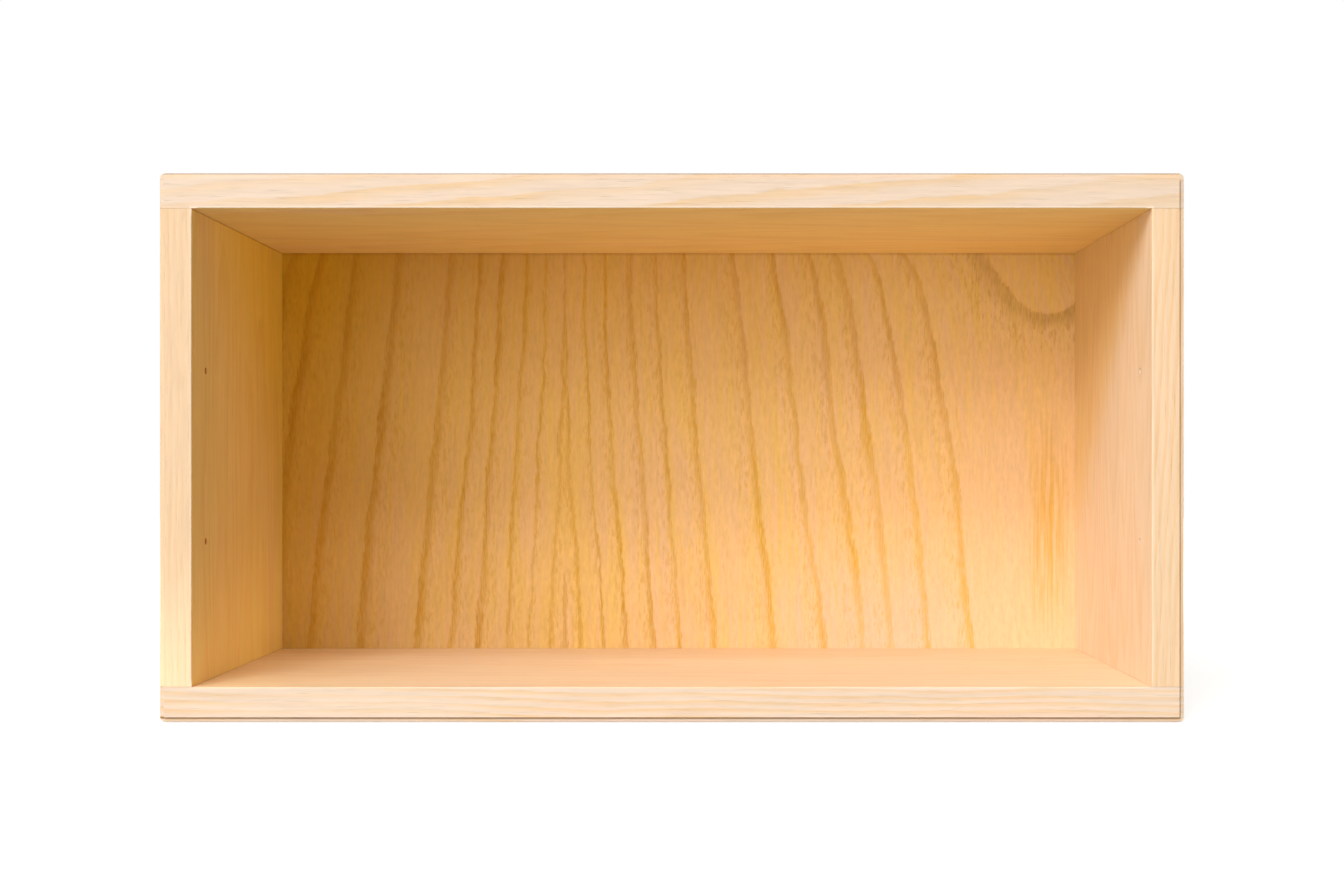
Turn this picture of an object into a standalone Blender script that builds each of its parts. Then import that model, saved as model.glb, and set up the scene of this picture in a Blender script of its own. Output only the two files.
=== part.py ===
"""Open box shelf in solid ash: four boards on blind dowels, closed round a grooved-in back panel.

Metres, +Z up. The shelf stands on z = 0, is centred on x = y = 0 and opens towards -Y.
"""

import math

import bmesh
import bpy
from mathutils import Matrix, Vector

# Overall size
WIDTH = 0.750
DEPTH = 0.300
HEIGHT = 0.402

# Boards: the decks are the top and bottom, which run over the ends of the sides
SIDE_THICKNESS = 0.024
DECK_THICKNESS = 0.026
JOINT_GAP = 0.00015

# Back panel, held in a groove on all four sides
PANEL_THICKNESS = 0.006
PANEL_INSET = 0.016
GROOVE_DEPTH = 0.008
PANEL_FACE_CLEARANCE = 0.0003
PANEL_EDGE_CLEARANCE = 0.0005

# Edges routed once the box is glued up
OUTER_RADIUS = 0.004
OUTER_SEGMENTS = 6
REBATE_WIDTH = 0.0038
REBATE_DEPTH = 0.002
ARRIS_RADIUS = 0.0010
ARRIS_SEGMENTS = 5
ARRIS_BITE = 0.00002
BEARING_RADIUS = 0.006
CORNER_SEGMENTS = 6

# Fluted dowels, glued into blind bores
DOWEL_DIAMETER = 0.008
DOWEL_LENGTH = 0.040
DOWEL_CHAMFER = 0.001
DOWEL_FLUTES = 10
DOWEL_FLUTE_DEPTH = 0.0004
DOWEL_LAND_SHARE = 0.64
DOWELS_PER_JOINT = 4
FIRST_DOWEL_SETBACK = 0.030
LAST_DOWEL_TO_GROOVE = 0.023
BORE_CLEARANCE = 0.0003
BORE_END_ROOM = 0.001
BORE_COVER = 0.009
BORE_SIDES = 20

# Holes through both sides, for bolting boxes to one another
LINK_HOLE_DIAMETER = 0.005
LINK_HOLE_SETBACK = 0.037
LINK_HOLE_DROP = 0.117
LINK_HOLE_SPACING = 0.128
LINK_HOLES_PER_SIDE = 2
LINK_HOLE_SIDES = 24

# How far blanks and cutters reach past what they cut
OVERSHOOT = 0.010

# Edges that bend less than this, in degrees, are shaded as one smooth surface
SMOOTH_BELOW = 32.0

# Linear colour and roughness of each finish
ASH = ((0.82, 0.58, 0.34), 0.42)
ASH_VENEER = ((0.76, 0.50, 0.26), 0.40)
BEECH = ((0.66, 0.42, 0.25), 0.65)

# Planes and lines that several pieces share
FRONT = -DEPTH / 2
REAR = DEPTH / 2
FLOOR = DECK_THICKNESS
CEILING = HEIGHT - DECK_THICKNESS
MIDDLE = HEIGHT / 2
INNER_HALF_WIDTH = WIDTH / 2 - SIDE_THICKNESS
INNER_HALF_HEIGHT = MIDDLE - DECK_THICKNESS
PANEL_REAR = REAR - PANEL_INSET
PANEL_FRONT = PANEL_REAR - PANEL_THICKNESS
DOWEL_LINE = WIDTH / 2 - SIDE_THICKNESS / 2


def clear_scene():
    for obj in list(bpy.data.objects):
        bpy.data.objects.remove(obj, do_unlink=True)


def finish(name, look):
    """Principled material from a colour and a roughness."""
    colour, roughness = look
    made = bpy.data.materials.new(name)
    made.use_nodes = True
    shader = made.node_tree.nodes["Principled BSDF"]
    shader.inputs["Base Color"].default_value = (*colour, 1.0)
    shader.inputs["Roughness"].default_value = roughness
    shader.inputs["Metallic"].default_value = 0.0
    return made


def finished_mesh(name, shape):
    """Turns a bmesh into a mesh whose faces point outwards and whose curves are shaded smooth."""
    bmesh.ops.recalc_face_normals(shape, faces=shape.faces)
    mesh = bpy.data.meshes.new(name)
    shape.to_mesh(mesh)
    shape.free()
    mesh.shade_smooth()
    mesh.set_sharp_from_angle(angle=math.radians(SMOOTH_BELOW))
    return mesh


def block_mesh(name, size, radius=0.0):
    """Box about the origin, with every edge rounded where a radius is given."""
    shape = bmesh.new()
    bmesh.ops.create_cube(shape, size=1.0)
    bmesh.ops.scale(shape, vec=size, verts=shape.verts)
    if radius:
        bmesh.ops.bevel(
            shape,
            geom=shape.edges[:],
            offset=radius,
            segments=OUTER_SEGMENTS,
            profile=0.5,
            affect="EDGES",
        )
    return finished_mesh(name, shape)


def loft_mesh(name, loops, frame=False):
    """Solid through loops of points: capped at the first and the last, or a frame that joins them."""
    shape = bmesh.new()
    rings = [[shape.verts.new(point) for point in loop] for loop in loops]
    if frame:
        rings.append(rings[0])
    else:
        shape.faces.new(rings[0])
        shape.faces.new(rings[-1])
    for near, far in zip(rings, rings[1:]):
        for here in range(len(near)):
            after = (here + 1) % len(near)
            shape.faces.new((near[here], near[after], far[after], far[here]))
    return finished_mesh(name, shape)


def rods_mesh(name, centres, axis, radius, length, sides):
    """Straight round rods along one axis, one at each centre."""
    turn = Vector(axis).to_track_quat("Z", "Y").to_matrix().to_4x4()
    shape = bmesh.new()
    for centre in centres:
        bmesh.ops.create_cone(
            shape,
            cap_ends=True,
            segments=sides,
            radius1=radius,
            radius2=radius,
            depth=length,
            matrix=Matrix.Translation(centre) @ turn,
        )
    return finished_mesh(name, shape)


def place(name, mesh, location, parent, material=None):
    obj = bpy.data.objects.new(name, mesh)
    bpy.context.collection.objects.link(obj)
    obj.location = location
    obj.parent = parent
    if material and not mesh.materials:
        mesh.materials.append(material)
    return obj


def place_cutter(name, mesh, location, parent):
    cutter = place(name, mesh, location, parent)
    cutter.hide_render = True
    cutter.display_type = "WIRE"
    return cutter


def apply_cutter(board, cutter, operation="DIFFERENCE"):
    cut = board.modifiers.new(cutter.name, "BOOLEAN")
    cut.operation = operation
    cut.solver = "EXACT"
    cut.object = cutter


def rounded_rectangle(half_width, half_height, radius):
    """Corner arcs of a rectangle about the origin, anticlockwise."""
    points = []
    for corner, (side, level) in enumerate(((1, 1), (-1, 1), (-1, -1), (1, -1))):
        for step in range(CORNER_SEGMENTS + 1):
            angle = math.radians(90) * (corner + step / CORNER_SEGMENTS)
            across = side * (half_width - radius) + radius * math.cos(angle)
            up = level * (half_height - radius) + radius * math.sin(angle)
            points.append((across, up))
    return points


def envelope_cutter(parent):
    """Outside of the whole box, with its rounded edges and corners."""
    mesh = block_mesh("envelope", (WIDTH, DEPTH, HEIGHT), OUTER_RADIUS)
    return place_cutter("envelope", mesh, (0, 0, MIDDLE), parent)


def rebate_cutter(parent):
    """Frame that sinks a narrow strip round the outer front edge, leaving the front face proud."""
    loops = []
    for grow, depth in (
        (OVERSHOOT, -OVERSHOOT),
        (OVERSHOOT, REBATE_DEPTH),
        (-REBATE_WIDTH, REBATE_DEPTH),
        (-REBATE_WIDTH, -OVERSHOOT),
    ):
        across = WIDTH / 2 + grow
        up = HEIGHT / 2 + grow
        corners = ((across, up), (-across, up), (-across, -up), (across, -up))
        loops.append([(x, depth, z) for x, z in corners])
    mesh = loft_mesh("front_rebate", loops, frame=True)
    return place_cutter("front_rebate", mesh, (0, FRONT, MIDDLE), parent)


def arris_cutter(parent):
    """Plug that eases the front edge of the opening; its corners keep the radius of the router's bearing."""
    sections = [(-OVERSHOOT, ARRIS_RADIUS)]
    for step in range(ARRIS_SEGMENTS + 1):
        angle = math.radians(90) * step / ARRIS_SEGMENTS
        sections.append((ARRIS_RADIUS * (1 - math.cos(angle)), ARRIS_RADIUS * (1 - math.sin(angle))))
    loops = []
    for depth, flare in sections:
        grow = flare - ARRIS_BITE
        outline = rounded_rectangle(
            INNER_HALF_WIDTH + grow, INNER_HALF_HEIGHT + grow, BEARING_RADIUS + grow
        )
        loops.append([(across, depth, up) for across, up in outline])
    return place_cutter("opening_arris", loft_mesh("opening_arris", loops), (0, FRONT, MIDDLE), parent)


def panel_slot_cutter(parent):
    """Room for the back panel: the part of it that lies in the boards becomes their grooves."""
    size = (
        2 * (INNER_HALF_WIDTH + GROOVE_DEPTH),
        PANEL_THICKNESS + 2 * PANEL_FACE_CLEARANCE,
        2 * (INNER_HALF_HEIGHT + GROOVE_DEPTH),
    )
    middle = (PANEL_FRONT + PANEL_REAR) / 2
    return place_cutter("panel_slot", block_mesh("panel_slot", size), (0, middle, MIDDLE), parent)


def dowel_places():
    """Name and centre of every dowel: it stands across a joint, mostly in the side's end."""
    first = FRONT + FIRST_DOWEL_SETBACK
    last = PANEL_FRONT - LAST_DOWEL_TO_GROOVE
    in_deck = DECK_THICKNESS - BORE_COVER - BORE_END_ROOM
    reach = DOWEL_LENGTH / 2 - in_deck
    places = {}
    for level, height in (("top", CEILING - reach), ("bottom", FLOOR + reach)):
        for hand, side in (("left", -1), ("right", 1)):
            for number in range(DOWELS_PER_JOINT):
                along = first + (last - first) * number / (DOWELS_PER_JOINT - 1)
                places[f"dowel_{level}_{hand}_{number + 1}"] = (side * DOWEL_LINE, along, height)
    return places


def bore_cutter(parent):
    mesh = rods_mesh(
        "dowel_bores",
        dowel_places().values(),
        (0, 0, 1),
        DOWEL_DIAMETER / 2 + BORE_CLEARANCE,
        DOWEL_LENGTH + 2 * BORE_END_ROOM,
        BORE_SIDES,
    )
    return place_cutter("dowel_bores", mesh, (0, 0, 0), parent)


def link_hole_cutter(parent):
    centres = []
    for number in range(LINK_HOLES_PER_SIDE):
        height = CEILING - LINK_HOLE_DROP - LINK_HOLE_SPACING * number
        centres.append((0, FRONT + LINK_HOLE_SETBACK, height))
    length = WIDTH + 2 * OVERSHOOT
    mesh = rods_mesh("link_holes", centres, (1, 0, 0), LINK_HOLE_DIAMETER / 2, length, LINK_HOLE_SIDES)
    return place_cutter("link_holes", mesh, (0, 0, 0), parent)


def cut_board(name, low, high, cutters, parent, material):
    """Oversize blank between two corners, trimmed to the box's outside and then machined."""
    size = [b - a for a, b in zip(low, high)]
    centre = [(a + b) / 2 for a, b in zip(low, high)]
    board = place(name, block_mesh(name, size), centre, parent, material)
    apply_cutter(board, cutters[0], "INTERSECT")
    for cutter in cutters[1:]:
        apply_cutter(board, cutter)


def decks(cutters, parent):
    half_width = WIDTH / 2 + OVERSHOOT
    half_depth = DEPTH / 2 + OVERSHOOT
    ash = finish("deck_ash", ASH)
    for name, low, high in (
        ("top_board", CEILING, HEIGHT + OVERSHOOT),
        ("bottom_board", -OVERSHOOT, FLOOR),
    ):
        cut_board(
            name,
            (-half_width, -half_depth, low),
            (half_width, half_depth, high),
            cutters,
            parent,
            ash,
        )


def sides(cutters, parent):
    half_depth = DEPTH / 2 + OVERSHOOT
    outside = WIDTH / 2 + OVERSHOOT
    ash = finish("side_ash", ASH)
    for name, low, high in (
        ("left_side", -outside, -INNER_HALF_WIDTH),
        ("right_side", INNER_HALF_WIDTH, outside),
    ):
        cut_board(
            name,
            (low, -half_depth, FLOOR + JOINT_GAP),
            (high, half_depth, CEILING - JOINT_GAP),
            cutters,
            parent,
            ash,
        )


def back_panel(parent):
    in_groove = GROOVE_DEPTH - PANEL_EDGE_CLEARANCE
    size = (
        2 * (INNER_HALF_WIDTH + in_groove),
        PANEL_THICKNESS,
        2 * (INNER_HALF_HEIGHT + in_groove),
    )
    middle = (PANEL_FRONT + PANEL_REAR) / 2
    mesh = block_mesh("back_panel", size)
    place("back_panel", mesh, (0, middle, MIDDLE), parent, finish("ash_veneer", ASH_VENEER))


def fluted_section(radius):
    """Round section with a V groove between each pair of lands."""
    pitch = 2 * math.pi / DOWEL_FLUTES
    half_land = pitch * DOWEL_LAND_SHARE / 2
    points = []
    for flute in range(DOWEL_FLUTES):
        middle = flute * pitch
        for angle, reach in (
            (middle - half_land, radius),
            (middle + half_land, radius),
            (middle + pitch / 2, radius - DOWEL_FLUTE_DEPTH),
        ):
            points.append((reach * math.cos(angle), reach * math.sin(angle)))
    return points


def dowels(parent):
    """Identical dowels share one mesh: a fluted rod with a chamfer at each end."""
    radius = DOWEL_DIAMETER / 2
    half = DOWEL_LENGTH / 2
    loops = []
    for height, reach in (
        (-half, radius - DOWEL_CHAMFER),
        (-half + DOWEL_CHAMFER, radius),
        (half - DOWEL_CHAMFER, radius),
        (half, radius - DOWEL_CHAMFER),
    ):
        loops.append([(x, y, height) for x, y in fluted_section(reach)])
    mesh = loft_mesh("fluted_dowel", loops)
    beech = finish("dowel_beech", BEECH)
    for name, centre in dowel_places().items():
        place(name, mesh, centre, parent, beech)


def main():
    clear_scene()
    shelf = bpy.data.objects.new("shelf", None)
    bpy.context.collection.objects.link(shelf)
    shared = [
        envelope_cutter(shelf),
        rebate_cutter(shelf),
        arris_cutter(shelf),
        panel_slot_cutter(shelf),
        bore_cutter(shelf),
    ]
    decks(shared, shelf)
    sides([*shared, link_hole_cutter(shelf)], shelf)
    back_panel(shelf)
    dowels(shelf)


main()
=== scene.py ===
"""Looks of the open box shelf: ash materials, camera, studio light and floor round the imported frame.

Lengths are in metres where no other unit is given. A range of two numbers says where an effect sets in and
where it is full, and two more numbers give its strength at those places. Colours are linear.
"""

import math

import bpy
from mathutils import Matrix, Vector


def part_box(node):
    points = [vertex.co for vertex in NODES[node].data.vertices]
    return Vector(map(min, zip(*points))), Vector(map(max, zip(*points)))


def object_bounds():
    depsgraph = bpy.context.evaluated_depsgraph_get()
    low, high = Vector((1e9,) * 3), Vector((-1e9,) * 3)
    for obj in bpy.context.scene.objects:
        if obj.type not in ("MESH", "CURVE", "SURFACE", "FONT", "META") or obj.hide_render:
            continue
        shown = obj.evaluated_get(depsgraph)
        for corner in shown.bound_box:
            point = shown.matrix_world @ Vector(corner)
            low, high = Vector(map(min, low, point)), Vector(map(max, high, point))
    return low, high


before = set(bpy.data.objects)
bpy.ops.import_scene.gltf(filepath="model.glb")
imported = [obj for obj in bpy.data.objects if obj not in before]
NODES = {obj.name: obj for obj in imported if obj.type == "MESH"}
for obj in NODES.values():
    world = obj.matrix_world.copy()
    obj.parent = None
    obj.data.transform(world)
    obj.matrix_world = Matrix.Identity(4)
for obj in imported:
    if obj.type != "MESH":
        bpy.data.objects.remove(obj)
CAD_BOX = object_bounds()

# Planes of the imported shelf
LOW, HIGH = CAD_BOX
WIDTH = HIGH.x - LOW.x
DEPTH = HIGH.y - LOW.y
HEIGHT = HIGH.z - LOW.z
FRONT = LOW.y
PANEL_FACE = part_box("back_panel")[0].y
PANEL_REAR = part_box("back_panel")[1].y
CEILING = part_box("top_board")[0].z
OPENING_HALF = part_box("right_side")[0].x
INNER_DEPTH = PANEL_FACE - FRONT

# Photograph, in pixels: its frame, the front face and the point where the depth lines meet
IMAGE_WIDTH = 1344
IMAGE_HEIGHT = 896
FACE_MIDDLE_X = 671.75
FACE_MIDDLE_Y = 447.6
FACE_WIDTH = 1026.3
VANISH_X = 712.0
VANISH_Y = 466.0

# Camera: how small the panel's plane looks beside the front plane, and the sensor in millimetres
BACK_SCALE = 0.825
SENSOR = 36.0

# Soft boxes: degrees from straight in front towards the left, distance, height, side of the square and watts
LAMPS = {
    "side": (58, 13.12, 4.46, 3.5, 494.0),
    "key": (35, 12.1, 6.9, 6.1, 356.0),
    "low": (20, 13.4, 3.55, 6.1, 399.0),
    "fill": (11, 8.9, 10.8, 6.1, 1054.0),
}

# World and floor: a warm even fill, white where seen, and a floor whose glow grows with the distance
WHITE = (1, 1, 1, 1)
WORLD_STRENGTH = 0.291
WORLD_TINT = (1.0, 0.97, 0.86, 1)
FLOOR_COLOUR = (0.60, 0.60, 0.60, 1)
FLOOR_GLOW = (0.55, 1.3, 0.66, 1.0)
FLOOR_SIZE = 10.0
FLOOR_DROP = 0.0004

# Soft sheen of the wood, how strongly relief shows, and how a seed moves a noise along each axis
SHEEN = {"Specular IOR Level": 0.14, "Coat Weight": 0.06, "Coat Roughness": 0.3}
RELIEF_STRENGTH = 0.5
SEED_STEP = (1.0, 0.7, 1.3)

# Link holes through the sides: heights, distance behind the front edge, radius, the rim where the tint
# reaches past the walls, and the tint of their raw wood, with painted shade at the left and painted light at
# the right
HOLE_HEIGHTS = (0.131, 0.259)
HOLE_SETBACK = 0.037
HOLE_RADIUS = 0.0025
HOLE_RIM = (0.0003, 0.0001)
HOLE_PAINTED_SHADE_AND_LIGHT = {"left_side": (1.05, 0.67, 0.27, 1), "right_side": (1.08, 1.17, 1.28, 1)}

# Shadow lines just below the ceiling, on the left side and on the panel, and the share of them that is full
CORNER_SHADE = (0.72, 0.60, 0.46, 1)
CORNER_REACH = 0.0014
RIM_SHADE = (0.90, 0.82, 0.72, 1)
RIM_REACH = 0.0026
SHADOW_CORE = 0.4

# Shadow gap round the front, with painted shade in its corner at the right and below, away from the light:
# ranges on both sides of that corner, behind the front in depths of the gap, and below the top
GAP_SHADE = (0.44, 0.32, 0.19, 1)
GAP_FROM_OUTSIDE = 0.0038
GAP_DEPTH = 0.002
GAP_OUTER_SIDE = (-0.0013, -0.0009)
GAP_INNER_SIDE = (0.0004, 0.0002)
GAP_NEAR_END = (0.2, 0.5)
GAP_FAR_END = (2.0, 1.5)
GAP_BELOW_TOP = (0.004, 0.008)

# Edges: a darker line along the upper front edge, a painted highlight on the edge round the opening,
# strongest at the top and left where the light falls, and worn outer edges
DARK_LINE = (0.56, 0.49, 0.43, 1)
DARK_LINE_BELOW_TOP = (0.0012, 0.0007)
DARK_LINE_BEHIND_FRONT = (0.005, 0.004)
OPENING_HIGHLIGHT = (0.95, 0.82, 0.68, 1)
OPENING_HIGHLIGHT_REACH = (0.0020, 0.0008)
OPENING_HIGHLIGHT_SHARE = {"top_board": 0.5, "bottom_board": 0.15, "left_side": 0.4, "right_side": 0.2}
WORN_EDGE = (0.0045, 0.0005)

# Solid ash, glued up from staves: their edges behind the front, the tone of each, which on the top board also
# holds painted light rising towards the back, and the seams between them
STAVE_EDGES = (0.062, 0.106, 0.189, 0.247)
STAVE_TONES = {
    "top_board": (-0.01, 0.01, 0.05, 0.11, 0.14),
    "bottom_board": (0.03, 0.0, -0.01, -0.02, 0.0),
    "left_side": (-0.01, 0.04, 0.06, 0.04, 0.04),
    "right_side": (0.05, 0.03, 0.0, 0.0, 0.02),
}
SEAM = (0.0004, 0.0001)

# Growth rings of a stave: how far aside and below the heart of its tree lies, how far the rings wander, how
# far they wobble in ring pitches, and where in each ring the late wood sets in and is full
HEART_ASIDE = 0.05
HEART_BELOW = 0.045
HEART_SCATTER = 0.05
RING_WANDER = 0.010
RING_WOBBLE = 0.8
LATE_WOOD = (0.25, 0.92)

# Colours of solid ash in pairs, sapwood and ring lines: three for inner faces, where the ochre of the shaded
# ceiling and left side is deepened by painted shade and the rosy of the lit right side holds painted light in
# its blue, two for front and rear edges and one for outer faces; then how boldly the lines show, a blush that
# comes and goes, and darker end grain
SHADED_OCHRE = ((0.85, 0.618, 0.245, 1), (0.77, 0.497, 0.150, 1))
LIT_ROSY = ((0.852, 0.668, 0.482, 1), (0.795, 0.550, 0.304, 1))
BLOND = ((0.92, 0.675, 0.460, 1), (0.87, 0.572, 0.312, 1))
CREAM = ((0.765, 0.600, 0.465, 1), (0.760, 0.500, 0.245, 1))
PEACH = ((0.785, 0.560, 0.360, 1), (0.765, 0.480, 0.240, 1))
OUTSIDE = ((0.830, 0.620, 0.420, 1), (0.785, 0.510, 0.265, 1))
OUTSIDE_PITCH = 0.0052
OUTSIDE_FROM_OPENING = (0.016, 0.022)
INNER_LINES = 0.6
EDGE_LINES = 0.82
LINE_BOLDNESS = (-0.22, 0.22, 0.3, 1.0)
BLUSH = (0.84, 0.570, 0.400, 1)
BLUSH_SPREAD = (0.0, 0.35, 0.0, 0.45)
END_SHADE = (0.74, 0.66, 0.56, 1)
END_FACING = (0.55, 0.95)
EDGE_FACING = (0.5, 0.9)

# Boards: axis of the grain, seed, slope of the rings, ring pitch, how much paler painted light bounced from
# the floor makes it near the floor, and the colours of the inner face and of the front and rear edges
BOARDS = {
    "top_board": ("X", 3.0, -0.09, 0.0120, 0.0, SHADED_OCHRE, CREAM),
    "bottom_board": ("X", 11.0, 0.012, 0.0052, 0.0, BLOND, CREAM),
    "left_side": ("Z", 23.0, 0.01, 0.0046, 0.28, SHADED_OCHRE, PEACH),
    "right_side": ("Z", 31.0, -0.06, 0.0052, 0.0, LIT_ROSY, PEACH),
}
# Heights where that painted bounced light sets in and is full
PAINTED_BOUNCE_HEIGHTS = (0.15, 0.02)

# Painted reflected light and shade on the inner faces: gold in the shade of the right side's upper part, of
# the left side's upper rear and of the floor's left end, paler on the left side's lower rear; the direction
# in which each grows, its range along that direction and its colour
PAINTED_INNER_LIGHT = {
    "top_board": (),
    "bottom_board": (((-1, 0, 0), (0.15, 0.33), (1.0, 0.98, 0.87, 1)),),
    "left_side": (
        ((0, 1, 1), (0.19, 0.43), (1.0, 0.96, 0.37, 1)),
        ((0, 1, -1), (-0.16, 0.02), (1.10, 1.21, 1.24, 1)),
    ),
    "right_side": (((0, 1, 1), (0.215, 0.30), (1.03, 0.965, 0.67, 1)),),
}

# Noise in solid ash: cells per metre along the grain, the power of the squeeze across it, what is added to
# the board's seed, detail and roughness; then what each layer adds to the tone, the roughness and the relief
ASH_SQUEEZE = 60
ASH_NOISE = {
    "wander": (5, 0.30, 0, 1.0, 0.5),
    "wobble": (15, 0.48, 0, 3.0, 0.6),
    "fibres": (17, 0.78, 0, 3.0, 0.65),
    "pores": (50, 0.80, 0, 1.0, 0.5),
    "drift": (5, 0.40, 3, 2.0, 0.5),
}
ASH_PORES = (0.10, 0.28)
ASH_TONE = {"fibres": 0.30, "pores": -0.09, "seam": -0.05, "wear": 0.02}
ASH_ROUGHNESS = 0.44
ASH_ROUGHER = {"pores": 0.12, "fibres": 0.15, "end": 0.14, "wear": -0.06}
ASH_RELIEF = {"fibres": 0.5, "pores": -1.0, "line": -0.3}
ASH_RELIEF_DEPTH = 0.00025

# Veneer of the back panel: colours between the rings, slanting from painted shade to painted light, x - SLANT
# * z
VENEER_PALE = (0.92, 0.620, 0.208, 1)
VENEER_BLUSH = (0.91, 0.598, 0.325, 1)
VENEER_BLUSH_SPREAD = (-0.30, 0.30)
VENEER_BLUSH_FROM = {"drift": 0.35, "bands": 0.8, "strings": 1.0}
VENEER_PAINTED_SHADE = (0.68, 0.390, 0.015, 1)
VENEER_PAINTED_SHADE_SPREAD = (-0.70, 0.05, 0.85, 0.0)
VENEER_PAINTED_LIGHT = (0.86, 0.595, 0.350, 1)
VENEER_PAINTED_LIGHT_SPREAD = (-0.05, 0.30)
SLANT = 0.9
SLANT_DRIFT = 0.25

# Colours of the veneer's ring lines: umber in painted shade at the upper left and golden in painted light at
# the lower right, each with its ranges across and up the panel
VENEER_LINE = (0.64, 0.315, 0.015, 1)
UMBER = (0.56, 0.275, 0.004, 1)
UMBER_PLACE = (((-0.14, -0.26),), ((0.06, 0.26),))
GOLD = (0.74, 0.40, 0.0, 1)
GOLD_PLACE = (((-0.10, 0.20),), ((0.30, 0.15),))

# Painted light and shade over the veneer in slow tints: ranges across the panel, ranges up the panel and the
# colour
VENEER_PAINTED_TINTS = {
    "left": (((-0.08, -0.19), (-0.325, -0.28)), (), (0.91, 0.895, 0.95, 1)),
    "low": (((0.10, -0.10),), ((0.10, 0.04),), (0.94, 0.93, 0.93, 1)),
    "low right": (((-0.06, 0.08), (0.30, 0.18)), ((0.12, 0.05),), (0.99, 0.97, 1.14, 1)),
    "upper left": (((-0.20, -0.32),), ((0.25, 0.35),), (0.95, 0.92, 0.45, 1)),
    "upper right": (((-0.08, 0.25),), ((0.25, 0.35),), (1.0, 1.09, 1.07, 1)),
}

# Cathedral rings: their upright axis, the height over which they fan out, how far they spread and fan, the
# bend of that fall by the distance from the axis, and each ring's distance from the axis at the top
CATHEDRAL_AXIS = -0.101
CATHEDRAL_DROP = 0.385
CATHEDRAL_SPREAD = 0.015
CATHEDRAL_FAN = 0.17
CATHEDRAL_BEND = (0.06, 0.34, 1.22, 0.50)
CATHEDRAL_RINGS = (-0.0098, 0.0006, 0.0177, 0.0357, 0.0582, 0.0781, 0.1045, 0.1500, 0.1868, 0.2155, 0.2385,
                   0.2665, 0.2985)

# Line of a ring: least and greatest width, growth with the distance from the axis, a swing from ring to ring,
# its crisp outer side, the share of its width that is full, the pore dust inside it, the measure that widens
# it at the left, and its strength across the panel
RING_LEAST = 0.0028
RING_MOST = 0.0070
RING_GROWTH = 0.033
RING_SWING = 0.0010
RING_SWING_STEP = 2.1
RING_CRISP = (-0.0016, 0.0004)
RING_CORE = 0.25
RING_DUST_WIDTHS = 3.1
RING_DUST_CORE = 0.001
RING_CLOSENESS = (-0.24, -0.06, 0.78, 1.0)
RING_STRENGTH = (-0.26, 0.25, 1.03, 0.80)

# The arch in the upper right corner, and the streak of dark pores below it
ARCH_LINE = (0.57, 0.335, 0.085, 1)
ARCH_LOWEST = (0.328, 0.321)
ARCH_CURVE = 18.3
ARCH_WAVER = 1.6
ARCH_CRISP = (-0.0014, 0.0016)
ARCH_BAND = (0.019, 0.004)
ARCH_DUST = (0.050, 0.004)
ARCH_STRENGTH = 0.92
ARCH_DUST_STRENGTH = 1.5
STREAK_CENTRE = (0.326, 0.140)
STREAK_ACROSS = (0.030, 0.002)
STREAK_UP = (0.130, 0.02)
STREAK_WAVER = 1.5
STREAK_STRENGTH = (-0.12, 0.12, 0.10, 0.72)

# Noise in the veneer, fixed to the panel or following the rings: cells per metre on each axis, seed, detail
# and roughness
VENEER_NOISE = {
    "slow": ((14, 1, 7), 2.0, 1.0, 0.5),
    "ripple": ((40, 1, 26), 5.0, 2.0, 0.5),
    "jagged": ((150, 1, 40), 18.0, 2.0, 0.5),
    "ragged": ((760, 1, 120), 1.0, 2.0, 0.5),
    "dashes": ((1000, 1, 100), 4.0, 1.0, 0.5),
    "flecks": ((560, 1, 120), 15.0, 2.0, 0.6),
    "fibres": ((430, 1, 36), 6.0, 3.0, 0.7),
    "mottle": ((310, 1, 120), 14.0, 2.0, 0.6),
    "strings": ((380, 1, 10), 17.0, 2.0, 0.6),
    "drift": ((9, 1, 3), 9.0, 2.0, 0.5),
    "pores": ((1500, 1, 70), 7.0, 1.0, 0.5),
    "fading": ((22, 1, 9), 3.0, 1.0, 0.5),
}
FLOW_NOISE = {
    "strands": ((330, 1, 9), 8.0, 2.0, 0.6),
    "bands": ((110, 1, 8), 12.0, 2.0, 0.5),
}

# How the rings waver, how the veneer's dark marks are cut from its noise, and what each layer adds to the
# tone, the roughness and the relief
VENEER_WAVER = {"slow": 0.010, "ripple": 0.0042, "jagged": 0.0038, "ragged": 0.0050}
DASHES = (-0.16, 0.12)
DASH_STRENGTH = 0.46
UNBROKEN_STRENGTH = 0.46
FADING = (-0.25, 0.2, 0.55, 1.0)
FLECKS = (-0.04, 0.18)
FLECKS_IN_DUST = 0.36
FLECKS_EVERYWHERE = 0.12
STRANDS = (0.06, 0.34, 0.0, 0.36)
VENEER_PORES = (0.16, 0.30)
VENEER_VALUE = 1.065
VENEER_TONE = {"fibres": 0.24, "mottle": 0.20, "strands": 0.10, "pores": -0.09}
VENEER_ROUGHNESS = 0.46
VENEER_ROUGHER = {"dark": 0.10, "fibres": 0.12}
VENEER_RELIEF = {"fibres": 0.4, "pores": -0.7, "dark": -0.2}
VENEER_RELIEF_DEPTH = 0.00018

# Raw beech of the dowels, with noise tables like the veneer's
BEECH_PALE = (0.66, 0.42, 0.25, 1)
BEECH_DARK = (0.56, 0.33, 0.18, 1)
BEECH_FLECK = (0.34, 0.17, 0.08, 1)
BEECH_NOISE = {
    "fibres": ((380, 380, 20), 0.0, 2.0, 0.5),
    "flecks": ((1500, 1500, 260), 3.0, 1.0, 0.5),
}
BEECH_FIBRES = (-0.3, 0.3)
BEECH_FLECKS = (0.12, 0.26)
BEECH_FLECK_STRENGTH = 0.6
BEECH_ROUGHNESS = 0.62
BEECH_ROUGHER = {"fibres": 0.2}
BEECH_RELIEF_DEPTH = 0.0002


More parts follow.
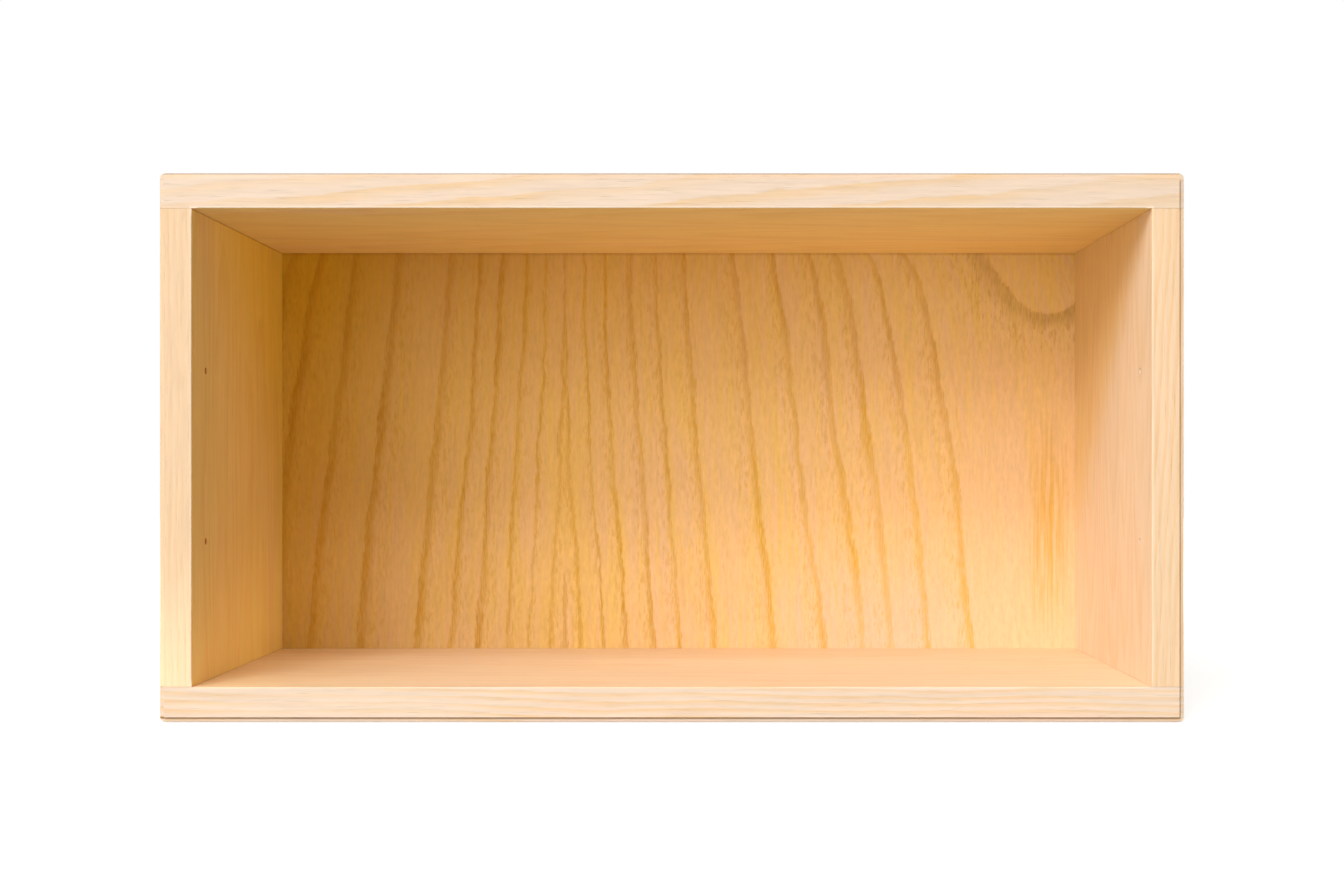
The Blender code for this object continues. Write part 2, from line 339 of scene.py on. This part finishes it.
class Graph:
    """Short calls for building one material's node tree."""

    def __init__(self, name):
        self.material = bpy.data.materials.new(name)
        self.material.use_nodes = True
        self.tree = self.material.node_tree
        self.shader = self.tree.nodes["Principled BSDF"]

    def feed(self, socket, value):
        if isinstance(value, bpy.types.NodeSocket):
            self.tree.links.new(value, socket)
        else:
            socket.default_value = value

    def add(self, kind, inputs, output=0, **settings):
        node = self.tree.nodes.new(kind)
        for key, value in settings.items():
            setattr(node, key, value)
        for key, value in inputs.items():
            self.feed(node.inputs[key], value)
        return node.outputs[output]

    def where(self, output):
        return self.add("ShaderNodeTexCoord", {}, output)

    def split(self, kind, socket):
        """The three parts of a vector or colour."""
        parts = self.tree.nodes.new(kind)
        self.tree.links.new(socket, parts.inputs[0])
        return tuple(parts.outputs)

    def math(self, operation, *values):
        return self.add("ShaderNodeMath", dict(enumerate(values)), operation=operation)

    def plus(self, a, b):
        return self.math("ADD", a, b)

    def minus(self, a, b):
        return self.math("SUBTRACT", a, b)

    def times(self, a, b):
        return self.math("MULTIPLY", a, b)

    def size(self, value):
        """A value without its sign."""
        return self.math("ABSOLUTE", value)

    def either(self, a, b):
        """The greater of two shares."""
        return self.math("MAXIMUM", a, b)

    def length(self, a, b):
        """Length of a flat vector with these two parts."""
        return self.math("SQRT", self.plus(self.times(a, a), self.times(b, b)))

    def weigh(self, base, layers, weights):
        """A base value plus each weighted layer."""
        for name, weight in weights.items():
            base = self.plus(base, self.times(layers[name], weight))
        return base

    def ramp(self, value, low, high, to_low=0.0, to_high=1.0):
        """Smooth step of a value from one range to another."""
        limits = {"Value": value, "From Min": low, "From Max": high, "To Min": to_low, "To Max": to_high}
        return self.add("ShaderNodeMapRange", limits, interpolation_type="SMOOTHSTEP")

    def blend(self, share, a, b, mode="MIX"):
        return self.add("ShaderNodeMix", {0: share, 6: a, 7: b}, 2, data_type="RGBA", blend_type=mode)

    def shade(self, share, colour, tint):
        """A colour multiplied by a tint where the share is one."""
        return self.blend(share, colour, self.blend(1.0, colour, tint, "MULTIPLY"))

    def brighten(self, colour, value):
        return self.add("ShaderNodeHueSaturation", {"Value": value, "Color": colour})

    def noise(self, place, scales, seed, detail, roughness):
        """Noise about zero, from -0.5 to 0.5, with so many cells per metre on each axis."""
        moves = {"Vector": place, "Scale": scales, "Location": [seed * step for step in SEED_STEP]}
        moved = self.add("ShaderNodeMapping", moves, vector_type="POINT")
        inputs = {"Vector": moved, "Scale": 1.0, "Detail": detail, "Roughness": roughness}
        return self.minus(self.add("ShaderNodeTexNoise", inputs), 0.5)

    def noises(self, place, table):
        """All noise layers of a table, by name."""
        return {name: self.noise(place, *recipe) for name, recipe in table.items()}

    def surface(self, colour, roughness, height, depth):
        """Wood with a soft sheen: colour, roughness and relief on the shader."""
        bump = self.add("ShaderNodeBump", {"Strength": RELIEF_STRENGTH, "Distance": depth, "Height": height})
        inputs = {"Base Color": colour, "Roughness": roughness, "Normal": bump, **SHEEN}
        for key, value in inputs.items():
            self.feed(self.shader.inputs[key], value)
        return self.material


def worn_edge(g, x, y, z):
    """One at the box's outer edges, falling to zero a few millimetres away from them."""
    reach_x = g.minus(WIDTH / 2, g.size(x))
    reach_y = g.minus(DEPTH / 2, g.size(y))
    reach_z = g.minus(HEIGHT / 2, g.size(g.minus(z, HEIGHT / 2)))
    nearest = g.math("MINIMUM", reach_x, reach_y)
    farther = g.math("MAXIMUM", reach_x, reach_y)
    second = g.math("MAXIMUM", nearest, g.math("MINIMUM", farther, reach_z))
    return g.ramp(second, *WORN_EDGE)


def hole_walls(g, y, z):
    """One on the walls of the link holes and at their rims."""
    inside = 0.0
    aside = g.minus(y, FRONT + HOLE_SETBACK)
    for height in HOLE_HEIGHTS:
        reach = g.minus(g.length(aside, g.minus(z, height)), HOLE_RADIUS)
        inside = g.either(inside, g.ramp(reach, *HOLE_RIM))
    return inside


def shadow_gap(g, x, y, z):
    """One in the inner corner of the strip sunk round the front, where painted shade stands for its shadow.
    """
    inward = g.minus(g.math("MINIMUM", g.minus(WIDTH / 2, x), z), GAP_FROM_OUTSIDE)
    depths = g.math("DIVIDE", g.minus(y, FRONT), GAP_DEPTH)
    corner = g.times(g.ramp(inward, *GAP_OUTER_SIDE), g.ramp(inward, *GAP_INNER_SIDE))
    sunk = g.times(g.ramp(depths, *GAP_NEAR_END), g.ramp(depths, *GAP_FAR_END))
    return g.times(g.times(corner, sunk), g.ramp(g.minus(HEIGHT, z), *GAP_BELOW_TOP))


def dark_top_line(g, y, z):
    """One on the last millimetre below the top, along the front."""
    below_top = g.ramp(g.minus(HEIGHT, z), *DARK_LINE_BELOW_TOP)
    return g.times(below_top, g.ramp(g.minus(y, FRONT), *DARK_LINE_BEHIND_FRONT))


def ceiling_shadow(g, z, reach):
    """One just below the ceiling, falling to zero at a given reach."""
    return g.ramp(g.minus(CEILING, z), reach, SHADOW_CORE * reach)


def edge_marks(g, node, x, y, z, from_opening, edge_facing, colour):
    """The colour of a board with a painted highlight round the opening, painted shade in the gap and under
    the ceiling, a darker line along the top, and raw wood in its holes with painted shade and painted light.
    """
    # Painted highlight on the edge round the opening, strongest at the top and left
    highlight = g.ramp(from_opening, *OPENING_HIGHLIGHT_REACH, 0.0, OPENING_HIGHLIGHT_SHARE[node])
    colour = g.blend(g.times(edge_facing, highlight), colour, OPENING_HIGHLIGHT)
    # Painted shade in the corner of the shadow gap at the right and below
    colour = g.shade(shadow_gap(g, x, y, z), colour, GAP_SHADE)
    # A darker line just below the top, along the front edge
    colour = g.shade(dark_top_line(g, y, z), colour, DARK_LINE)
    # Raw wood in the link holes, with painted shade at the left and painted light at the right
    if node in HOLE_PAINTED_SHADE_AND_LIGHT:
        colour = g.shade(hole_walls(g, y, z), colour, HOLE_PAINTED_SHADE_AND_LIGHT[node])
    if node == "left_side":
        corner = g.times(ceiling_shadow(g, z, CORNER_REACH), g.minus(1.0, edge_facing))
        colour = g.shade(corner, colour, CORNER_SHADE)
    return colour


def painted_inner_tints(g, node, spot, colour):
    """The colour of an inner face with the painted reflected light and shade of that board."""
    for direction, limits, tint in PAINTED_INNER_LIGHT[node]:
        reach = g.add("ShaderNodeVectorMath", {0: spot, 1: direction}, "Value", operation="DOT_PRODUCT")
        colour = g.shade(g.ramp(reach, *limits), colour, tint)
    return colour


def staves(g, y, seed, tones):
    """For each glued stave random numbers, its middle and its tone, and the thin seams between staves."""
    limits = (0.0, *STAVE_EDGES, DEPTH)
    middles = [FRONT + (near + far) / 2 for near, far in zip(limits, limits[1:])]
    index = seed
    middle = middles[0]
    tone = tones[0]
    seam = 0.0
    for number, edge in enumerate(STAVE_EDGES):
        past = g.minus(y, FRONT + edge)
        step = g.math("GREATER_THAN", past, 0.0)
        index = g.plus(index, step)
        middle = g.plus(middle, g.times(step, middles[number + 1] - middles[number]))
        tone = g.plus(tone, g.times(step, tones[number + 1] - tones[number]))
        seam = g.plus(seam, g.ramp(g.size(past), *SEAM))
    luck = g.add("ShaderNodeTexWhiteNoise", {"W": index}, "Color", noise_dimensions="1D")
    return g.split("ShaderNodeSeparateColor", luck), middle, tone, seam


def board_places(g, node, along, x, z):
    """Distances on one board: along its grain, off the middle of its thickness, and away from the opening."""
    low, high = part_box(node)
    centre = (low + high) / 2
    if along == "X":
        above_opening = g.minus(z, low.z) if centre.z > HEIGHT / 2 else g.minus(high.z, z)
        beside_opening = g.minus(g.size(x), OPENING_HALF)
        return x, g.minus(z, centre.z), g.math("MAXIMUM", above_opening, beside_opening)
    beside_opening = g.minus(x, low.x) if centre.x > 0 else g.minus(high.x, x)
    return z, g.minus(x, centre.x), beside_opening


def ash_noises(g, spot, along, seed):
    """All noise layers of solid ash, drawn out along the grain."""
    layers = {}
    for name, (cells, power, more, detail, roughness) in ASH_NOISE.items():
        scales = [cells if axis == along else cells * ASH_SQUEEZE ** power for axis in "XYZ"]
        layers[name] = g.noise(spot, scales, seed + more, detail, roughness)
    return layers


def heart_distance(g, luck, off_middle, run, through, slope, wander):
    """Distance of a spot from the heart of the tree that its stave was cut from."""
    aside = g.minus(off_middle, g.times(g.minus(luck[0], 0.5), HEART_ASIDE))
    below = g.plus(through, g.plus(g.times(luck[1], HEART_SCATTER), HEART_BELOW))
    below = g.plus(below, g.plus(g.times(run, slope), g.times(wander, RING_WANDER)))
    return g.length(aside, below)


def ring_line(g, radius, wobble, pitch):
    """Late wood at the end of each growth ring: it darkens slowly and stops short."""
    moved = g.plus(radius, g.times(wobble, RING_WOBBLE * pitch))
    saw = g.math("FRACT", g.math("DIVIDE", moved, pitch))
    return g.times(g.ramp(saw, *LATE_WOOD), g.ramp(saw, 1.0, LATE_WOOD[1]))


def ash_board(node, along, seed, slope, pitch, painted_bounce, face, edges):
    """Solid ash: staves whose growth rings, fibres and pores run along one axis of the board."""
    g = Graph(node + "_ash")
    spot = g.where("Object")
    x, y, z = g.split("ShaderNodeSeparateXYZ", spot)
    facing = dict(zip("XYZ", g.split("ShaderNodeSeparateXYZ", g.where("Normal"))))
    edge_facing = g.ramp(g.size(facing["Y"]), *EDGE_FACING)
    run, through, from_opening = board_places(g, node, along, x, z)
    luck, middle, tone, seam = staves(g, y, seed, STAVE_TONES[node])
    layers = ash_noises(g, spot, along, seed)
    radius = heart_distance(g, luck, g.minus(y, middle), run, through, slope, layers["wander"])
    layers["line"] = ring_line(g, radius, layers["wobble"], pitch)
    layers["pores"] = g.ramp(layers["pores"], *ASH_PORES)
    layers["end"] = g.ramp(g.size(facing[along]), *END_FACING)
    layers["wear"] = worn_edge(g, x, y, z)
    layers["seam"] = seam

    bold = g.ramp(layers["drift"], *LINE_BOLDNESS)
    lines = g.times(layers["line"], bold)
    outer_lines = g.times(ring_line(g, radius, layers["wobble"], OUTSIDE_PITCH), bold)
    # Inner face with painted reflected light and shade over its colour
    inner = painted_inner_tints(g, node, spot, g.blend(g.times(lines, INNER_LINES), *face))
    broad = g.blend(g.ramp(from_opening, *OUTSIDE_FROM_OPENING), inner, g.blend(outer_lines, *OUTSIDE))
    colour = g.blend(edge_facing, broad, g.blend(g.times(lines, EDGE_LINES), *edges))
    colour = g.blend(g.ramp(layers["drift"], *BLUSH_SPREAD), colour, BLUSH)
    # Painted light bounced from the floor: paler near the floor
    tone = g.plus(tone, g.ramp(z, *PAINTED_BOUNCE_HEIGHTS, 0.0, painted_bounce))
    colour = g.brighten(colour, g.weigh(g.plus(tone, 1.0), layers, ASH_TONE))
    colour = g.shade(layers["end"], colour, END_SHADE)
    colour = edge_marks(g, node, x, y, z, from_opening, edge_facing, colour)

    roughness = g.weigh(ASH_ROUGHNESS, layers, ASH_ROUGHER)
    return g.surface(colour, roughness, g.weigh(0.0, layers, ASH_RELIEF), ASH_RELIEF_DEPTH)


def ring_width(number, ring):
    """Width of a ring's dark line: wider away from the axis, and no two quite alike."""
    steady = min(RING_LEAST + RING_GROWTH * abs(ring), RING_MOST)
    return steady + RING_SWING * math.sin(RING_SWING_STEP * number)


def cathedral(g, x, z, waver):
    """Ring lines that fan out from the axis, the dust of pores inside each, and the flow they follow."""
    level = g.math("MAXIMUM", g.math("DIVIDE", g.minus(CEILING, z), CATHEDRAL_DROP), 0.0)
    off_axis = g.size(g.minus(x, CATHEDRAL_AXIS))
    fall = g.math("POWER", level, g.ramp(off_axis, *CATHEDRAL_BEND))
    opened = g.minus(off_axis, g.times(fall, CATHEDRAL_SPREAD))
    flow = g.plus(g.math("DIVIDE", opened, g.plus(g.times(fall, CATHEDRAL_FAN), 1.0)), waver)
    closeness = g.ramp(x, *RING_CLOSENESS)
    lines = 0.0
    dust = 0.0
    for number, ring in enumerate(CATHEDRAL_RINGS):
        width = ring_width(number, ring)
        inside = g.minus(ring, flow)
        crisp = g.ramp(inside, *RING_CRISP)
        inside = g.times(inside, closeness)
        body = g.ramp(inside, width, RING_CORE * width)
        cloud = g.ramp(inside, RING_DUST_WIDTHS * width, RING_DUST_CORE)
        lines = g.either(lines, g.times(body, crisp))
        dust = g.either(dust, g.times(cloud, crisp))
    return lines, dust, flow


def arch(g, x, z, waver):
    """The one ring that closes into a U in the upper right corner, and the dust of pores below it."""
    across = g.minus(x, ARCH_LOWEST[0])
    rise = g.times(g.times(across, across), ARCH_CURVE)
    steep = g.times(across, 2 * ARCH_CURVE)
    below = g.minus(g.plus(rise, ARCH_LOWEST[1]), z)
    outside = g.math("DIVIDE", below, g.length(steep, 1.0))
    outside = g.plus(outside, g.times(waver, ARCH_WAVER))
    crisp = g.ramp(outside, *ARCH_CRISP)
    return g.times(crisp, g.ramp(outside, *ARCH_BAND)), g.times(crisp, g.ramp(outside, *ARCH_DUST))


def streak(g, x, z, waver):
    """A patch of dark pores that runs upright under the arch."""
    aside = g.size(g.plus(g.minus(x, STREAK_CENTRE[0]), g.times(waver, STREAK_WAVER)))
    along = g.size(g.minus(z, STREAK_CENTRE[1]))
    return g.times(g.ramp(aside, *STREAK_ACROSS), g.ramp(along, *STREAK_UP))


def dark_marks(g, layers, lines, dust, patch):
    """Share of the line colour: rings broken into dashes, flecks of pores, strands and the dark patch."""
    dashes = g.plus(g.times(g.ramp(layers["dashes"], *DASHES), DASH_STRENGTH), UNBROKEN_STRENGTH)
    dark = g.times(g.times(lines, g.ramp(layers["fading"], *FADING)), dashes)
    fleck_share = g.plus(g.times(dust, FLECKS_IN_DUST), FLECKS_EVERYWHERE)
    dark = g.either(dark, g.times(g.ramp(layers["flecks"], *FLECKS), fleck_share))
    dark = g.either(dark, g.ramp(layers["strands"], *STRANDS))
    return g.either(dark, g.times(patch, g.ramp(layers["strings"], *STREAK_STRENGTH)))


def veneer_ground(g, x, z, layers):
    """Colour between the rings: pale with a blush, painted shade to the upper left, painted light to the
    lower right.
    """
    blush = g.weigh(0.0, layers, VENEER_BLUSH_FROM)
    colour = g.blend(g.ramp(blush, *VENEER_BLUSH_SPREAD), VENEER_PALE, VENEER_BLUSH)
    slant = g.plus(g.minus(x, g.times(z, SLANT)), g.times(layers["drift"], SLANT_DRIFT))
    colour = g.blend(g.ramp(slant, *VENEER_PAINTED_SHADE_SPREAD), colour, VENEER_PAINTED_SHADE)
    return g.blend(g.ramp(slant, *VENEER_PAINTED_LIGHT_SPREAD), colour, VENEER_PAINTED_LIGHT)


def within(g, x, z, across, up):
    """One where a spot is full inside all these ranges across and up the panel."""
    share = 1.0
    for value, limits in ((x, across), (z, up)):
        for pair in limits:
            share = g.times(share, g.ramp(value, *pair))
    return share


def line_colour(g, x, z, arch_share):
    """Colour of the ring lines, with painted shade and light over the panel and a change in the arch."""
    umber = within(g, x, z, *UMBER_PLACE)
    golden = within(g, x, z, *GOLD_PLACE)
    colour = g.blend(golden, g.blend(umber, VENEER_LINE, UMBER), GOLD)
    return g.blend(arch_share, colour, ARCH_LINE)


def ash_veneer(node):
    """Crown-cut veneer: cathedral rings broken into pore dashes, upright fibres, slow colour drift and
    painted light.
    """
    g = Graph(node + "_veneer")
    spot = g.where("Object")
    x, y, z = g.split("ShaderNodeSeparateXYZ", spot)
    layers = g.noises(spot, VENEER_NOISE)
    waver = g.weigh(0.0, layers, VENEER_WAVER)
    rings, ring_dust, flow = cathedral(g, x, z, waver)
    bow, bow_dust = arch(g, x, z, waver)
    layers.update(g.noises(g.add("ShaderNodeCombineXYZ", {0: flow, 2: z}), FLOW_NOISE))
    layers["pores"] = g.ramp(layers["pores"], *VENEER_PORES)
    lines = g.either(g.times(rings, g.ramp(x, *RING_STRENGTH)), g.times(bow, ARCH_STRENGTH))
    dust = g.either(ring_dust, g.times(bow_dust, ARCH_DUST_STRENGTH))
    layers["dark"] = dark_marks(g, layers, lines, dust, streak(g, x, z, waver))

    # Ground and ring lines, both with painted shade at the upper left and painted light at the lower right
    colour = g.blend(layers["dark"], veneer_ground(g, x, z, layers), line_colour(g, x, z, bow_dust))
    # Painted light and shade in slow tints over the panel
    for across, up, tint in VENEER_PAINTED_TINTS.values():
        colour = g.shade(within(g, x, z, across, up), colour, tint)
    colour = g.shade(ceiling_shadow(g, z, RIM_REACH), colour, RIM_SHADE)
    rear = g.math("GREATER_THAN", y, (PANEL_FACE + PANEL_REAR) / 2)
    colour = g.blend(rear, colour, g.blend(layers["dark"], *OUTSIDE))
    colour = g.brighten(colour, g.weigh(VENEER_VALUE, layers, VENEER_TONE))

    roughness = g.weigh(VENEER_ROUGHNESS, layers, VENEER_ROUGHER)
    return g.surface(colour, roughness, g.weigh(0.0, layers, VENEER_RELIEF), VENEER_RELIEF_DEPTH)


def beech():
    """Raw beech with short dark flecks along the dowels."""
    g = Graph("beech")
    layers = g.noises(g.where("Object"), BEECH_NOISE)
    flecks = g.ramp(layers["flecks"], *BEECH_FLECKS)
    colour = g.blend(g.ramp(layers["fibres"], *BEECH_FIBRES), BEECH_PALE, BEECH_DARK)
    colour = g.blend(g.times(flecks, BEECH_FLECK_STRENGTH), colour, BEECH_FLECK)
    roughness = g.weigh(BEECH_ROUGHNESS, layers, BEECH_ROUGHER)
    return g.surface(colour, roughness, g.minus(layers["fibres"], flecks), BEECH_RELIEF_DEPTH)


def paint(node, material):
    mesh = NODES[node].data
    mesh.materials.clear()
    mesh.materials.append(material)


def camera():
    """Square to the front, with the shift that puts the vanishing point where the photograph has it."""
    pixels_per_metre = FACE_WIDTH / WIDTH
    distance = INNER_DEPTH / (1 / BACK_SCALE - 1)
    data = bpy.data.cameras.new("camera")
    data.sensor_width = SENSOR
    data.lens = SENSOR * pixels_per_metre * distance / IMAGE_WIDTH
    data.shift_x = (IMAGE_WIDTH / 2 - VANISH_X) / IMAGE_WIDTH
    data.shift_y = (VANISH_Y - IMAGE_HEIGHT / 2) / IMAGE_WIDTH
    made = bpy.data.objects.new("camera", data)
    bpy.context.scene.collection.objects.link(made)
    across = (VANISH_X - FACE_MIDDLE_X) / pixels_per_metre
    up = HEIGHT / 2 - (VANISH_Y - FACE_MIDDLE_Y) / pixels_per_metre
    made.location = (across, FRONT - distance, up)
    made.rotation_euler = (math.radians(90), 0, 0)
    bpy.context.scene.camera = made


def lamp(name, turn, distance, up, side, watts):
    """A square soft box aimed at the middle of the shelf."""
    angle = math.radians(turn)
    place = Vector((-distance * math.sin(angle), -distance * math.cos(angle), up))
    data = bpy.data.lights.new(name, "AREA")
    data.shape = "SQUARE"
    data.size = side
    data.energy = watts
    made = bpy.data.objects.new(name, data)
    bpy.context.scene.collection.objects.link(made)
    made.location = place
    made.rotation_euler = (Vector((0, 0, HEIGHT / 2)) - place).to_track_quat("-Z", "Y").to_euler()


def seen_directly(tree):
    """One for rays that come straight from the camera, or from it by way of a mirror or glass."""
    path = tree.nodes.new("ShaderNodeLightPath")
    seen = path.outputs["Is Camera Ray"]
    for kind in ("Is Glossy Ray", "Is Transmission Ray"):
        either = tree.nodes.new("ShaderNodeMath")
        either.operation = "MAXIMUM"
        tree.links.new(seen, either.inputs[0])
        tree.links.new(path.outputs[kind], either.inputs[1])
        seen = either.outputs[0]
    return seen


def seen_or_lit(tree, lit, seen, output):
    """Links one shader for rays that see it directly and another for the rest to the tree's output."""
    mix = tree.nodes.new("ShaderNodeMixShader")
    tree.links.new(seen_directly(tree), mix.inputs[0])
    tree.links.new(lit.outputs[0], mix.inputs[1])
    tree.links.new(seen.outputs[0], mix.inputs[2])
    tree.links.new(mix.outputs[0], tree.nodes[output].inputs["Surface"])


def studio_world():
    """White where it is seen, and a weak even fill where it lights."""
    world = bpy.data.worlds.new("studio")
    bpy.context.scene.world = world
    world.use_nodes = True
    tree = world.node_tree
    fill = tree.nodes["Background"]
    fill.inputs["Color"].default_value = WORLD_TINT
    fill.inputs["Strength"].default_value = WORLD_STRENGTH
    white = tree.nodes.new("ShaderNodeBackground")
    white.inputs["Color"].default_value = WHITE
    white.inputs["Strength"].default_value = 1.0
    seen_or_lit(tree, fill, white, "World Output")


def floor_glow(tree):
    """Emission that grows with the distance from the middle of the floor."""
    place = tree.nodes.new("ShaderNodeTexCoord")
    away = tree.nodes.new("ShaderNodeVectorMath")
    away.operation = "LENGTH"
    tree.links.new(place.outputs["Object"], away.inputs[0])
    fade = tree.nodes.new("ShaderNodeMapRange")
    fade.interpolation_type = "SMOOTHSTEP"
    for key, value in zip(("From Min", "From Max", "To Min", "To Max"), FLOOR_GLOW):
        fade.inputs[key].default_value = value
    tree.links.new(away.outputs["Value"], fade.inputs["Value"])
    glow = tree.nodes.new("ShaderNodeEmission")
    tree.links.new(fade.outputs[0], glow.inputs["Strength"])
    return glow


def studio_floor():
    """Pale floor that keeps the shadow and is otherwise seen as white."""
    bpy.ops.mesh.primitive_plane_add(size=FLOOR_SIZE, location=(0, 0, -FLOOR_DROP))
    plane = bpy.context.object
    plane.name = "floor"
    material = bpy.data.materials.new("floor")
    material.use_nodes = True
    tree = material.node_tree
    tree.nodes.remove(tree.nodes["Principled BSDF"])
    matt = tree.nodes.new("ShaderNodeBsdfDiffuse")
    matt.inputs["Color"].default_value = FLOOR_COLOUR
    both = tree.nodes.new("ShaderNodeAddShader")
    tree.links.new(matt.outputs[0], both.inputs[0])
    tree.links.new(floor_glow(tree).outputs[0], both.inputs[1])
    seen_or_lit(tree, matt, both, "Material Output")
    plane.data.materials.append(material)


for board, recipe in BOARDS.items():
    paint(board, ash_board(board, *recipe))
paint("back_panel", ash_veneer("back_panel"))
dowel_wood = beech()
for name in NODES:
    if name.startswith("dowel"):
        paint(name, dowel_wood)

camera()
for name, setting in LAMPS.items():
    lamp(name, *setting)
studio_world()
studio_floor()
bpy.context.scene.view_settings.view_transform = "Standard"
